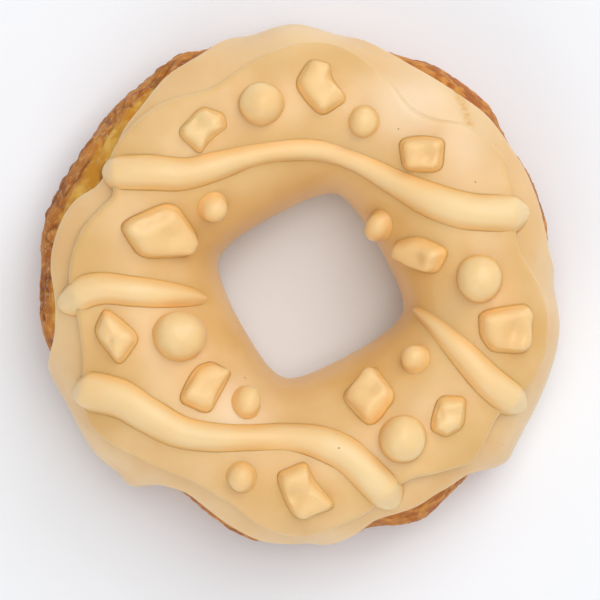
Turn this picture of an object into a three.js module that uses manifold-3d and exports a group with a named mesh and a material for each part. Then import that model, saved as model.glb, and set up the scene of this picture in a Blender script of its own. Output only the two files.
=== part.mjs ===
// A glazed ring doughnut, about 93 mm across and 35 mm tall. A fried ring of dough carries a thin
// first coat of caramel glaze, which hangs down its sides as a skirt, and a thicker top coat with a
// scalloped edge. On the top coat lie four thick strips of the same glaze, six small pearls, four
// large pearls and eleven chunks. The strips and small pearls are of one piece with the top coat.
//
// Millimetres, +Z up. The origin is on the surface that the doughnut rests on, under the middle of
// its ring. A turn is an angle in degrees round the ring, from +X towards +Y. A section is an angle
// round the ring's cross-section: 0 at the widest level outside, 90 at the crest, 180 in the hole
// and 270 underneath.

import * as THREE from 'three';
import { ParametricGeometry } from 'three/addons/geometries/ParametricGeometry.js';
import { mergeVertices } from 'three/addons/utils/BufferGeometryUtils.js';
import Module from 'manifold-3d';

// The dough ring.
const WIDEST_LEVEL = 11.8;
const CREST_RISE = 13.6;
const BELLY_DROP = 12.3;
const CREST_ROUNDNESS = 2.15;
const BELLY_ROUNDNESS = 2.7;
const CREST_SWELL = 0.03;
const FLAT_HALF_WIDTH = 18;

// Wrinkles on its sides, where two waves round the ring cross. They fade out towards the crest and
// the flat on which the ring rests.
const WRINKLE_DEPTH = 0.5;
const WRINKLE_FADE = 0.35;
const WRINKLES_ROUND = 9;
const CROSSING_WRINKLES_ROUND = 14;

// How far out the dough reaches at its widest level, as [turn, reach]: it bulged as it fried.
const DOUGH_REACH = [
  [0, 43.9], [12, 45.2], [22, 45.6], [32, 45.2], [44, 46.8], [56, 46.6], [66, 45.2], [80, 43.6],
  [92, 45.2], [103, 44.2], [110, 45.2], [117, 46.8], [130, 46.8], [140, 46.7], [154, 46.6],
  [162, 47.7], [171, 47.8], [181, 47.5], [190, 48.0], [200, 46.7], [209, 46.3], [220, 46.9],
  [227, 45.8], [234, 44.1], [241, 43.7], [248, 45.1], [254, 46.7], [260, 47.4], [266, 46.3],
  [271, 45.4], [280, 46.7], [287, 46.2], [297, 48.1], [304, 46.9], [313, 45.7], [320, 47.0],
  [329, 46.3], [340, 46.1], [350, 45.7],
];

// The hole that shows from above: a square with round corners, a little off the ring's middle.
const HOLE_CENTRE = new THREE.Vector2(1.5, -0.5);
const HOLE_HALF_WIDTH = 14.3;
const HOLE_SQUARENESS = 4.4;
const HOLE_TURN = 29;

// The coats. Neighbouring pieces keep a gap, so that each is a solid of its own.
const GAP = 0.3;
const FIRST_COAT = 1.2;
const TOP_COAT = 1.9;
const LIP_LENGTH = 1.8;
const LIP_WALL = 0.05;
const SCALLOP_LEAN = 0.6;
const FIRST_COAT_INNER_END = 214;
const TOP_COAT_INNER_END = 196;

// The outer edge of the first coat, as [turn, section].
const SKIRT_EDGE = [
  [0, -10], [8, 24], [20, 31], [30, 28], [40, 36], [50, 44], [60, 43], [70, 28], [80, -4],
  [92, -18], [103, -6], [109, 14], [115, 35], [124, 41], [132, 48], [139, 51], [146, 57],
  [154, 60], [160, 51], [167, 44], [176, 40], [187, 44], [193, 35], [200, 0], [209, -24],
  [222, -28], [230, -4], [234, 20], [241, 31], [250, 34], [258, 32], [265, 18], [272, -2],
  [281, 26], [291, 40], [299, 43], [306, 34], [311, 25], [316, 4], [322, -30], [334, -22],
  [346, -26], [354, -18],
];

// The scalloped outer edge of the top coat seen from above, as [turn, reach].
const SCALLOP_REACH = [
  [11, 39.0], [22, 40.6], [33, 41.6], [44, 40.7], [52, 38.1], [59, 37.5], [68, 39.4], [78, 41.2],
  [90, 42.1], [104, 39.9], [116, 38.6], [128, 40.4], [138, 41.0], [147, 40.6], [155, 37.8],
  [160, 38.9], [167, 40.7], [178, 41.5], [188, 40.7], [199, 41.3], [209, 43.8], [217, 44.2],
  [228, 41.8], [240, 39.9], [251, 41.0], [262, 43.8], [274, 43.7], [286, 41.9], [297, 40.3],
  [306, 41.7], [315, 43.2], [325, 41.9], [333, 43.1], [342, 44.1], [351, 43.3], [358, 41.6],
];

// The strips of glaze: the middle line of each seen from above, as [x, y, width].
const STRIP_RISE = 0.34;
const STRIP_ROOT = 1.1;
const STRIP_DRAPE = 8;
const STRIPS = [
  [[-35.4, 19.5, 5.5], [-27.0, 19.5, 5.7], [-21.0, 19.2, 5.2], [-15.5, 20.5, 4.6],
    [-9.4, 22.3, 3.8], [-3.2, 23.3, 3.4], [3.2, 23.3, 3.5], [9.4, 21.4, 3.8], [15.6, 18.2, 4.6],
    [22.6, 14.7, 5.6], [29.5, 12.6, 6.1], [40.2, 12.2, 6.4]],
  [[-43.0, -4.7, 4.9], [-38.6, -1.7, 5.1], [-35.0, -1.0, 4.9], [-30.2, -1.5, 4.7],
    [-24.9, -2.0, 4.2], [-19.9, -2.5, 2.9], [-17.0, -2.9, 1.2]],
  [[20.0, -4.6, 1.2], [23.2, -7.2, 2.6], [26.4, -10.4, 3.7], [29.8, -14.0, 4.6],
    [33.2, -17.6, 5.1], [39.4, -22.4, 5.6]],
  [[-40.6, -18.9, 7.2], [-32.6, -20.4, 6.7], [-27.4, -23.4, 5.8], [-21.8, -26.3, 5.1],
    [-16.2, -27.3, 4.4], [-9.4, -27.4, 4.0], [-3.0, -27.2, 4.5], [2.4, -28.0, 5.5],
    [6.9, -29.8, 5.9], [10.0, -32.2, 5.9], [13.0, -35.3, 5.9], [17.0, -39.6, 6.2]],
];

// The pearls: where each sits seen from above, its half length and width, and where it points.
const PEARL_RISE = 0.42;
const SMALL_PEARLS = [
  { at: [-15.9, 13.5], half: [2.3, 2.3], points: 0 },
  { at: [10.9, 28.5], half: [2.4, 2.25], points: 90 },
  { at: [14.1, 10.3], half: [3.5, 2.1], points: 38 },
  { at: [-9.9, -21.2], half: [2.75, 2.15], points: 76 },
  { at: [20.2, -13.6], half: [2.2, 2.2], points: 0 },
  { at: [-10.7, -34.4], half: [2.3, 2.2], points: 90 },
];
const LARGE_PEARLS = [
  { at: [-7.2, 31.6], half: [3.7, 3.6], points: 0 },
  { at: [31.4, 0.7], half: [3.95, 3.9], points: 90 },
  { at: [-21.9, -9.6], half: [4.5, 4.1], points: 0 },
  { at: [17.8, -27.6], half: [4.0, 3.9], points: 90 },
];

// The chunks: the corners of each seen from above, anticlockwise, how high it stands, and the dents
// in its top as [x, y, reach, depth], where a negative depth is a lump.
const CHUNKS = [
  { corners: [[-22.1, 26.6], [-18.0, 22.7], [-16.2, 25.6], [-13.4, 27.3], [-13.8, 29.6], [-17.7, 31.1]],
    height: 2.7, dents: [[-18.8, 28.5, 1.6, 0.8], [-15.4, 28.6, 1.4, -0.3]] },
  { corners: [[3.3, 29.4], [7.9, 32.6], [5.0, 36.1], [4.9, 39.0], [1.6, 39.6], [-1.2, 35.2]],
    height: 2.6, dents: [[4.6, 36.0, 1.4, 0.4], [5.6, 33.6, 1.3, -0.3]] },
  { corners: [[17.8, 19.8], [24.5, 19.7], [25.2, 25.5], [17.3, 25.5]], height: 2.9,
    dents: [[22.4, 22.2, 1.7, 0.9], [24.0, 24.6, 1.3, -0.3]] },
  { corners: [[-32.6, 10.4], [-28.5, 4.4], [-19.4, 4.7], [-18.1, 7.6], [-22.8, 14.5]], height: 3.4,
    dents: [[-24.0, 8.2, 2.2, 0.5], [-29.0, 11.4, 1.7, 0.9], [-26.0, 12.8, 1.6, 0.7]] },
  { corners: [[16.3, 4.9], [19.6, 2.7], [23.8, 1.7], [25.3, 5.8], [20.2, 8.2], [16.5, 7.2]],
    height: 2.8, dents: [[21.9, 4.6, 1.3, 0.7], [18.4, 6.2, 2.0, -0.3]] },
  { corners: [[31.2, -5.2], [31.7, -9.6], [33.6, -12.0], [40.8, -12.4], [41.1, -3.6]], height: 3.1,
    dents: [[37.4, -8.6, 2.1, 1.4], [36.6, -11.0, 1.8, 0.6], [40.1, -7.6, 1.3, -0.3]] },
  { corners: [[-36.6, -8.7], [-32.4, -14.8], [-28.5, -9.6], [-34.8, -4.5]], height: 2.8,
    dents: [[-33.8, -10.3, 0.8, 0.4], [-32.0, -9.0, 1.6, -0.2]] },
  { corners: [[-21.9, -20.9], [-16.2, -22.9], [-14.3, -18.6], [-12.3, -15.6], [-15.9, -14.1],
      [-18.9, -15.2]],
    height: 2.4, dents: [[-16.8, -18.4, 2.2, 0.3]] },
  { corners: [[7.0, -20.6], [12.1, -25.4], [16.6, -19.8], [12.4, -14.3]], height: 3.0,
    dents: [[13.2, -19.0, 1.8, 0.7], [10.4, -21.2, 1.6, -0.25]] },
  { corners: [[22.7, -25.8], [25.6, -27.3], [28.3, -25.4], [28.9, -20.4], [24.3, -20.3]], height: 2.5,
    dents: [[24.0, -23.0, 1.2, 0.8], [26.2, -23.0, 1.0, 0.45], [28.2, -22.9, 1.3, 0.7]] },
  { corners: [[-4.8, -34.0], [-0.9, -42.6], [6.2, -39.5], [1.9, -35.2], [0.7, -31.7]], height: 2.9,
    dents: [[-1.4, -37.6, 2.2, 1.2]] },
];
const CHUNK_ROOT = 2.2;
const CHUNK_CORNER_ROUNDING = 0.28;
const CHUNK_CORNER_LIFT = 0.4;

// A chunk's side view, as [share of its outline, share of its height]: a dished top inside a rim.
const CHUNK_PROFILE = [[1.03, 0], [0.99, 0.4], [0.88, 0.72], [0.62, 0.96], [0, 0.88]];

// How finely the surfaces are divided. All layers share the rows round the cross-section, so that
// their facets lie side by side and the gap between them stays even.
const RING_SLICES = 54;
const SKIRT_ROWS = 3;
const CAP_ROWS = 8;
const THROAT_ROWS = 2;
const INNER_BELLY_ROWS = 2;
const OUTER_BELLY_ROWS = 3;
const LIP_STEPS = [0.18, 0.55];
const INNER_LIP_STEP = 0.4;
const STRIP_STEP = 3.9;
const LEAST_STRIP_SLICES = 10;
const STRIP_ANGLES = [0, 36, 72, 108, 144, 180, 270];
const LARGE_PEARL_SLICES = 12;
const SMALL_PEARL_SLICES = 10;
const PEARL_ROWS_PER_SLICE = 0.6;

const DEGREES = Math.PI / 180;
const FIRST_COAT_OVER = GAP + FIRST_COAT;
const TOP_COAT_UNDER = FIRST_COAT_OVER + GAP;
const TOP_COAT_OVER = TOP_COAT_UNDER + TOP_COAT;
const { clamp, smoothstep } = THREE.MathUtils;

// A smooth closed curve through [turn, value] pairs in rising order: cubic pieces whose slope at
// each pair is that of the chord between its neighbours.
function around(pairs) {
  const pair = (i) => {
    const lap = Math.floor(i / pairs.length);
    const [turn, value] = pairs[i - lap * pairs.length];
    return [turn + 360 * lap, value];
  };
  const slope = (i) => (pair(i + 1)[1] - pair(i - 1)[1]) / (pair(i + 1)[0] - pair(i - 1)[0]);
  return (turn) => {
    const wrapped = turn - 360 * Math.floor((turn - pairs[0][0]) / 360);
    let i = 0;
    while (pair(i + 1)[0] <= wrapped) i += 1;
    const [x0, y0] = pair(i);
    const [x1, y1] = pair(i + 1);
    const t = (wrapped - x0) / (x1 - x0);
    const bend = (x1 - x0) * t * (1 - t) * ((1 - t) * slope(i) - t * slope(i + 1));
    return y0 + (y1 - y0) * t * t * (3 - 2 * t) + bend;
  };
}

const doughReach = around(DOUGH_REACH);
const skirtEdge = around(SKIRT_EDGE);
const scallopReach = around(SCALLOP_REACH);

function heading(turn) {
  return new THREE.Vector2(Math.cos(turn * DEGREES), Math.sin(turn * DEGREES));
}

// The dough's edge in the hole: the hole that shows, opened out by what the coats take up.
function holeEdge(turn) {
  const { x, y } = heading(turn - HOLE_TURN);
  const power = Math.abs(x) ** HOLE_SQUARENESS + Math.abs(y) ** HOLE_SQUARENESS;
  const reach = HOLE_HALF_WIDTH * power ** (-1 / HOLE_SQUARENESS) + TOP_COAT_OVER;
  return heading(turn).multiplyScalar(reach).add(HOLE_CENTRE);
}

function outerEdge(turn) {
  return heading(turn).multiplyScalar(doughReach(turn));
}

// A point of the dough's smooth surface, which is round on top and flatter underneath.
function doughPoint(turn, section) {
  const { x, y } = heading(section);
  const power = 2 / (y >= 0 ? CREST_ROUNDNESS : BELLY_ROUNDNESS);
  const share = 0.5 + 0.5 * Math.sign(x) * Math.abs(x) ** power;
  const swell = 1 + CREST_SWELL * Math.sin((3 * turn + 50) * DEGREES);
  const rise = (y >= 0 ? CREST_RISE * swell : -BELLY_DROP) * Math.abs(y) ** power;
  const plan = holeEdge(turn).lerp(outerEdge(turn), share);
  return new THREE.Vector3(plan.x, plan.y, WIDEST_LEVEL + rise);
}

// The outward normal there, from neighbouring points.
function doughNormal(turn, section) {
  const step = 0.5;
  const round = doughPoint(turn + step, section).sub(doughPoint(turn - step, section));
  const across = doughPoint(turn, section + step).sub(doughPoint(turn, section - step));
  return round.cross(across).normalize();
}

function liftedPoint(turn, section, lift) {
  return doughPoint(turn, section).addScaledVector(doughNormal(turn, section), lift);
}

// The share of the way from the hole's edge to the outer edge at which a reach seen from above lies.
function shareOfWidth(turn, reach) {
  const inner = holeEdge(turn).length();
  return (reach - inner) / (doughReach(turn) - inner);
}

// The scalloped edge as a section: there the coat leans out by a part of its lift.
function scallopEdge(turn) {
  const share = shareOfWidth(turn, scallopReach(turn) - TOP_COAT_UNDER * SCALLOP_LEAN);
  return Math.acos(clamp(2 * share - 1, 0, 1) ** (CREST_ROUNDNESS / 2)) / DEGREES;
}

// The turn and section at which a lifted surface passes over [x, y], by Newton's method.
function locate(x, y, lift) {
  const step = 0.2;
  let turn = Math.atan2(y, x) / DEGREES;
  const share = clamp(shareOfWidth(turn, Math.hypot(x, y)), 0.05, 0.95);
  let section = Math.acos(2 * share - 1) / DEGREES;
  for (let i = 0; i < 12; i += 1) {
    const p = liftedPoint(turn, section, lift);
    const byTurn = liftedPoint(turn + step, section, lift).sub(p).divideScalar(step);
    const bySection = liftedPoint(turn, section + step, lift).sub(p).divideScalar(step);
    const det = byTurn.x * bySection.y - byTurn.y * bySection.x;
    turn += ((x - p.x) * bySection.y - (y - p.y) * bySection.x) / det;
    section += ((y - p.y) * byTurn.x - (x - p.x) * byTurn.y) / det;
    section = clamp(section, 3, 177);
  }
  return [turn, section];
}

// The top coat's surface over [x, y]. Past its scalloped edge it falls away to the first coat.
function onGlaze(x, y) {
  let lift = TOP_COAT_OVER;
  let turn;
  let section;
  for (let i = 0; i < 3; i += 1) {
    [turn, section] = locate(x, y, lift);
    const edge = scallopEdge(turn);
    lift = TOP_COAT_UNDER + TOP_COAT * smoothstep(section, edge - STRIP_DRAPE, edge + STRIP_DRAPE);
  }
  return { point: liftedPoint(turn, section, lift), normal: doughNormal(turn, section) };
}

// The sections at one turn: up the skirt, over the cap, down the throat and round the belly.
function sectionRows(turn) {
  const skirt = skirtEdge(turn);
  const scallop = scallopEdge(turn);
  return [
    [skirt, scallop, SKIRT_ROWS],
    [scallop, TOP_COAT_INNER_END, CAP_ROWS],
    [TOP_COAT_INNER_END, FIRST_COAT_INNER_END, THROAT_ROWS],
    [FIRST_COAT_INNER_END, 270 - FLAT_HALF_WIDTH, INNER_BELLY_ROWS],
    [270 - FLAT_HALF_WIDTH, 270 + FLAT_HALF_WIDTH, 1],
    [270 + FLAT_HALF_WIDTH, skirt + 360, OUTER_BELLY_ROWS],
  ].flatMap(([from, to, count]) => Array.from(
    { length: count }, (_, i) => from + ((to - from) * i) / count));
}

// A closed ring through cross-sections, which sectionAt(turn) gives as points in order.
function ringGeometry(sectionAt) {
  const turns = Array.from({ length: RING_SLICES }, (_, i) => (360 * i) / RING_SLICES);
  const sections = turns.map(sectionAt);
  const rows = sections[0].length;
  const surface = (u, v, target) => target.copy(
    sections[Math.round(u * RING_SLICES) % RING_SLICES][Math.round(v * rows) % rows]);
  return new ParametricGeometry(surface, RING_SLICES, rows);
}

// The dough's cross-section, with shallow wrinkles on its sides, cut flat where it rests.
function doughSection(turn) {
  return sectionRows(turn).map((section) => {
    const side = Math.max(0, Math.cos(section * DEGREES) - WRINKLE_FADE) / (1 - WRINKLE_FADE);
    const wave = Math.sin((WRINKLES_ROUND * turn + 2 * section) * DEGREES)
      * Math.cos((CROSSING_WRINKLES_ROUND * turn - section) * DEGREES);
    const point = liftedPoint(turn, section, -WRINKLE_DEPTH * side * (0.5 + 0.5 * wave));
    point.z = Math.max(point.z, 0);
    return point;
  });
}

// A coat's cross-section: a skin between two lifts, with a steep round lip at both ends. It reaches
// past the lower lift by a gap, which is cut away.
function coatSection(turn, rows, under, over) {
  const start = rows[0];
  const end = rows[rows.length - 1];
  const width = doughReach(turn) - holeEdge(turn).length();
  const lip = LIP_LENGTH / (DEGREES * 0.5 * width);
  const inside = rows.slice(1, -1);
  const upper = [
    start,
    ...LIP_STEPS.map((step) => start + step * Math.min(lip, rows[1] - start)),
    ...inside,
    end - INNER_LIP_STEP * lip,
    end,
  ];
  const thickness = (section) => {
    const fromEnd = Math.min(1, LIP_WALL + Math.min(section - start, end - section) / lip);
    return (over - under) * Math.sqrt(1 - (1 - fromEnd) ** 2);
  };
  return [
    ...upper.map((section) => liftedPoint(turn, section, under + thickness(section))),
    ...rows.toReversed().map((section) => liftedPoint(turn, section, under - GAP)),
  ];
}

function firstCoatSection(turn) {
  const rows = sectionRows(turn).slice(0, SKIRT_ROWS + CAP_ROWS + THROAT_ROWS + 1);
  return coatSection(turn, rows, GAP, FIRST_COAT_OVER);
}

function topCoatSection(turn) {
  const rows = sectionRows(turn).slice(SKIRT_ROWS, SKIRT_ROWS + CAP_ROWS + 1);
  return coatSection(turn, rows, TOP_COAT_UNDER, TOP_COAT_OVER);
}

// The whole ring at an even lift, which cuts away what reaches below it.
function ringAt(lift) {
  return ringGeometry((turn) => sectionRows(turn).map(
    (section) => liftedPoint(turn, section, lift)));
}

// A strip: a domed ribbon along its middle line, with round ends, rooted in the top coat.
function stripGeometry(line) {
  const middle = new THREE.CatmullRomCurve3(line.map(([x, y]) => new THREE.Vector3(x, y, 0)));
  const widths = new THREE.CatmullRomCurve3(
    line.map(([, , width], i) => new THREE.Vector3(i, width, 0)));
  const length = middle.getLength();
  const surface = (u, v, target) => {
    const along = 0.5 - 0.5 * Math.cos(Math.PI * u);
    const t = middle.getUtoTmapping(along);
    const { x, y } = middle.getPoint(t);
    const { point, normal } = onGlaze(x, y);
    const side = normal.clone().cross(middle.getTangent(t)).normalize();
    const width = widths.getPoint(t).y;
    const fromEnd = Math.min(1, (Math.min(along, 1 - along) * length) / (0.5 * width));
    const fullness = Math.sqrt(1 - (1 - fromEnd) ** 2);
    const across = heading(STRIP_ANGLES[Math.round(v * STRIP_ANGLES.length) % STRIP_ANGLES.length]);
    const rise = across.y > 0 ? STRIP_RISE * width : STRIP_ROOT;
    return target.copy(point)
      .addScaledVector(side, -0.5 * width * fullness * across.x)
      .addScaledVector(normal, rise * fullness * across.y);
  };
  const slices = Math.max(LEAST_STRIP_SLICES, Math.round(length / STRIP_STEP));
  return new ParametricGeometry(surface, slices, STRIP_ANGLES.length);
}

// A pearl: a ball drawn out a little one way and sunk into the glaze.
function pearlGeometry({ at, half, points }, slices) {
  const { point, normal } = onGlaze(...at);
  const centre = point.addScaledVector(normal, PEARL_RISE * half[1]);
  const upright = new THREE.Quaternion().setFromUnitVectors(new THREE.Vector3(0, 0, 1), normal);
  return new THREE.SphereGeometry(1, slices, Math.round(PEARL_ROWS_PER_SLICE * slices))
    .rotateX(Math.PI / 2)
    .scale(half[0], half[1], half[1])
    .rotateZ(points * DEGREES)
    .applyQuaternion(upright)
    .translate(centre.x, centre.y, centre.z);
}

// An outline with straight sides, whose corners are rounded by three points each: one a share of the
// way along either side and one halfway round the quadratic curve between them.
function roundedOutline(corners) {
  return corners.flatMap((corner, i) => {
    const before = corners[(i + corners.length - 1) % corners.length];
    const after = corners[(i + 1) % corners.length];
    const start = corner.clone().lerp(before, CHUNK_CORNER_ROUNDING);
    const end = corner.clone().lerp(after, CHUNK_CORNER_ROUNDING);
    return [start, start.clone().lerp(end, 0.5).lerp(corner, 0.5), end];
  });
}

// A chunk: its corners stand highest and its top is dented.
function chunkGeometry({ corners, height, dents }) {
  const points = corners.map(([x, y]) => new THREE.Vector3(x, y, 0));
  const middle = points.reduce((sum, p) => sum.clone().add(p)).divideScalar(points.length);
  const outline = roundedOutline(points).map((p) => p.sub(middle));
  const size = outline.reduce((sum, p) => sum + p.length(), 0) / outline.length;
  const { point, normal } = onGlaze(middle.x, middle.y);
  const profile = [
    [0, -CHUNK_ROOT],
    [CHUNK_PROFILE[0][0], -CHUNK_ROOT],
    ...CHUNK_PROFILE.map(([spread, share]) => [spread, share * height]),
  ];
  const dentAt = (x, y) => dents.reduce((sum, [dentX, dentY, reach, depth]) => (
    sum + depth * Math.exp(-((x - dentX) ** 2 + (y - dentY) ** 2) / reach ** 2)), 0);
  const surface = (u, v, target) => {
    const [spread, rise] = profile[Math.round(v * (profile.length - 1))];
    const out = outline[Math.round(u * outline.length) % outline.length].clone();
    const lift = 1 + CHUNK_CORNER_LIFT * spread * (out.length() / size - 1);
    out.multiplyScalar(spread);
    const dent = dentAt(middle.x + out.x, middle.y + out.y) * smoothstep(rise / height, 0.3, 0.9);
    const fall = -(normal.x * out.x + normal.y * out.y) / normal.z;
    return target.copy(point)
      .add(out.setZ(fall))
      .addScaledVector(normal, rise > 0 ? rise * lift - dent : rise);
  };
  return new ParametricGeometry(surface, outline.length, profile.length - 1);
}

const wasm = await Module();
wasm.setup();

// A solid of a closed geometry, for cutting and joining, and the geometry of such a solid.
function solidOf(geometry) {
  geometry.deleteAttribute('normal');
  geometry.deleteAttribute('uv');
  const merged = mergeVertices(geometry);
  return new wasm.Manifold(new wasm.Mesh({
    numProp: 3,
    vertProperties: merged.attributes.position.array,
    triVerts: new Uint32Array(merged.index.array),
  }));
}

function geometryOf(solid) {
  const mesh = solid.getMesh();
  const geometry = new THREE.BufferGeometry();
  geometry.setAttribute('position', new THREE.BufferAttribute(mesh.vertProperties, 3));
  geometry.setIndex(new THREE.BufferAttribute(mesh.triVerts, 1));
  geometry.computeVertexNormals();
  return geometry;
}

const belowFirstCoat = solidOf(ringAt(GAP));
const belowTopCoat = solidOf(ringAt(TOP_COAT_UNDER));
const belowToppings = solidOf(ringAt(TOP_COAT_OVER + GAP));

// The top coat with the strips and small pearls that are of one piece with it.
function topCoatSolid() {
  const raised = [
    ...STRIPS.map(stripGeometry),
    ...SMALL_PEARLS.map((pearl) => pearlGeometry(pearl, SMALL_PEARL_SLICES)),
  ];
  return raised
    .reduce((coat, geometry) => coat.add(solidOf(geometry)), solidOf(ringGeometry(topCoatSection)))
    .subtract(belowTopCoat);
}

const firstCoatSolid = solidOf(ringGeometry(firstCoatSection)).subtract(belowFirstCoat);

const crust = new THREE.MeshStandardMaterial({ color: 0xa86a34, roughness: 0.75, metalness: 0 });
const firstGlaze = new THREE.MeshStandardMaterial({ color: 0xd8b078, roughness: 0.4, metalness: 0 });
const topGlaze = new THREE.MeshStandardMaterial({ color: 0xe6bd80, roughness: 0.35, metalness: 0 });
const topping = new THREE.MeshStandardMaterial({ color: 0xf3cf92, roughness: 0.4, metalness: 0 });

const doughnut = new THREE.Group();

function addPiece(name, geometry, material) {
  const mesh = new THREE.Mesh(geometry, material);
  mesh.name = name;
  doughnut.add(mesh);
}

addPiece('dough', ringGeometry(doughSection), crust);
addPiece('first_coat', geometryOf(firstCoatSolid), firstGlaze);
addPiece('top_coat', geometryOf(topCoatSolid()), topGlaze);
LARGE_PEARLS.forEach((pearl, i) => {
  const solid = solidOf(pearlGeometry(pearl, LARGE_PEARL_SLICES)).subtract(belowToppings);
  addPiece(`pearl_${i + 1}`, geometryOf(solid), topping);
});
CHUNKS.forEach((chunk, i) => {
  const solid = solidOf(chunkGeometry(chunk)).subtract(belowToppings);
  addPiece(`chunk_${i + 1}`, geometryOf(solid), topping);
});

export default doughnut;
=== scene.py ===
"""A glazed ring doughnut: fried dough, a thin first coat of caramel glaze, a thicker scalloped top
coat, and strips, pearls and chunks that are glazed over with the same caramel.

Shapes are worked out in millimetres and stored in metres. A turn is an angle in degrees round the
ring, from +X towards +Y. A section is an angle round the ring's cross-section: 0 at the widest level
outside, 90 at the crest, 180 in the hole and 270 underneath.
"""

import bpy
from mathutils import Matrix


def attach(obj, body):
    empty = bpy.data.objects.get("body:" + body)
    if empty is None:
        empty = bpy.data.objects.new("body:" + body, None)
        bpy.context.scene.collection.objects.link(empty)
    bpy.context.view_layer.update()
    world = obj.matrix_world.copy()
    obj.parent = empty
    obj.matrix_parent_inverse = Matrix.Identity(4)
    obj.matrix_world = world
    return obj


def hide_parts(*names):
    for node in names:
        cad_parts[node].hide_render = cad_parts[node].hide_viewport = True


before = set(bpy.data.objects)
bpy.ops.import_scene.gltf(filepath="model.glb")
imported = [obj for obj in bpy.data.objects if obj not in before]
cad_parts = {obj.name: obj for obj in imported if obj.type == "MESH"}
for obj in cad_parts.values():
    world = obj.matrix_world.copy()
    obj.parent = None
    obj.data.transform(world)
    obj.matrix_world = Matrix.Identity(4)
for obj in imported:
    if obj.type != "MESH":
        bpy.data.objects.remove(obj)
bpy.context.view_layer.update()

import bpy
import numpy as np

MM = 0.001
SEED = 11

# The dough ring.
WIDEST_LEVEL = 11.8
CREST_RISE = 13.6
BELLY_DROP = 12.3
CREST_ROUNDNESS = 2.15
BELLY_ROUNDNESS = 2.7
CREST_SWELL = 0.03
WRINKLE_DEPTH = 0.5
WRINKLE_FADE = 0.35
DOUGH_REACH = (
    (0, 43.9), (12, 45.2), (22, 45.6), (32, 45.2), (44, 46.8), (56, 46.6), (66, 45.2), (80, 43.6),
    (92, 45.2), (103, 44.2), (110, 45.2), (117, 46.8), (130, 46.8), (140, 46.7), (154, 46.6),
    (162, 47.7), (171, 47.8), (181, 47.5), (190, 48.0), (200, 46.7), (209, 46.3), (220, 46.9),
    (227, 45.8), (234, 44.1), (241, 43.7), (248, 45.1), (254, 46.7), (260, 47.4), (266, 46.3),
    (271, 45.4), (280, 46.7), (287, 46.2), (297, 48.1), (304, 46.9), (313, 45.7), (320, 47.0),
    (329, 46.3), (340, 46.1), (350, 45.7),
)

# Where the crust is smoother and more orange, as (turn, reach in turns).
PLAIN_CRUST = ((52, 24), (299, 20))

# The dough's mesh, whose rows crowd towards the outer side, and its relief in the scene: the size
# of each kind of noise and how far it lifts the crust.
DOUGH_ROWS = 160
DOUGH_COLUMNS = 620
ROW_CROWDING = 0.4
CRAG_SIZE, CRAG_LIFT = 7, 0.2
BLISTER_SIZE, BLISTER_LIFT = 3.2, 0.5
GRAIN_SIZE, GRAIN_LIFT = 1.5, 0.17
FURROW_SIZE, FURROW_DEPTH, FURROW_WIDTH = 4.2, 0.3, 0.14
BELLY_GRAIN = 0.05

# The hole: a square with round corners.
HOLE_CENTRE = np.array([1.5, -0.5])
HOLE_HALF_WIDTH = 14.3
HOLE_SQUARENESS = 4.4
HOLE_TURN = 29

# The coats: how far each surface stands off the dough, and where it ends.
FIRST_COAT_OVER = 1.5
TOP_COAT_OVER = 3.7
SUNK = 0.15
FIRST_COAT_LIP = 1.6
TOP_COAT_LIP = 1.2
FIRST_COAT_INNER_END = 214
TOP_COAT_INNER_END = 196
SKIRT_EDGE = (
    (0, -10), (8, 24), (20, 31), (30, 28), (40, 36), (50, 44), (60, 43), (70, 28), (80, -4),
    (92, -18), (103, -6), (109, 14), (115, 35), (124, 41), (132, 48), (139, 51), (146, 57),
    (154, 60), (160, 51), (167, 44), (176, 40), (187, 44), (193, 35), (200, 0), (209, -24),
    (222, -28), (230, -4), (234, 20), (241, 31), (250, 34), (258, 32), (265, 18), (272, -2),
    (281, 26), (291, 40), (299, 43), (306, 34), (311, 25), (316, 4), (322, -30), (334, -22),
    (346, -26), (354, -18),
)
SCALLOP_REACH = (
    (11, 39.0), (22, 40.6), (33, 41.6), (44, 40.7), (52, 38.1), (59, 37.5), (68, 39.4), (78, 41.2),
    (90, 42.1), (104, 39.9), (116, 38.6), (128, 40.4), (138, 41.0), (147, 40.6), (155, 37.8),
    (160, 38.9), (167, 40.7), (178, 41.5), (188, 40.7), (199, 41.3), (209, 43.8), (217, 44.2),
    (228, 41.8), (240, 39.9), (251, 41.0), (262, 43.8), (274, 43.7), (286, 41.9), (297, 40.3),
    (306, 41.7), (315, 43.2), (325, 41.9), (333, 43.1), (342, 44.1), (351, 43.3), (358, 41.6),
)

# The coats' meshes, the faint flow of their surfaces as (size, lift) and how much painted shade, with
# some pooled glaze, deepens them in the hole and beside the toppings.
COAT_UPPER_ROWS = 118
COAT_LOWER_ROWS = 14
COAT_COLUMNS = 640
FLOWS = ((9, 0.12), (2.5, 0.03))
POOL_AND_SHADE_IN_HOLE = 0.22
POOL_AND_SHADE_AT_TOPPINGS = 0.4
OVERLAP_REACH = 0.7
OVERLAP_RELIEF = 0.25

# Where the first coat gathered in drips before it set, as (turn, reach in turns, thickness).
DRIPS = ((228.6, 2.4, 1.0), (319.4, 2.2, 0.6))

# Where one flow of the first coat ran over another: the ends of the rough line seen from above.
OVERLAP = ((26.6, 34.2), (29.2, 27.8))

# Where a whitish sheen is painted into the glaze's colour, on slopes that face the key light, as (x,
# y, reach, share).
PAINTED_SHEEN_PATCHES = ((19.0, 31.5, 6.5, 0.48), (28.0, 25.0, 6.0, 0.3), (-11.0, -21.5, 5.5, 0.4))

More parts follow.
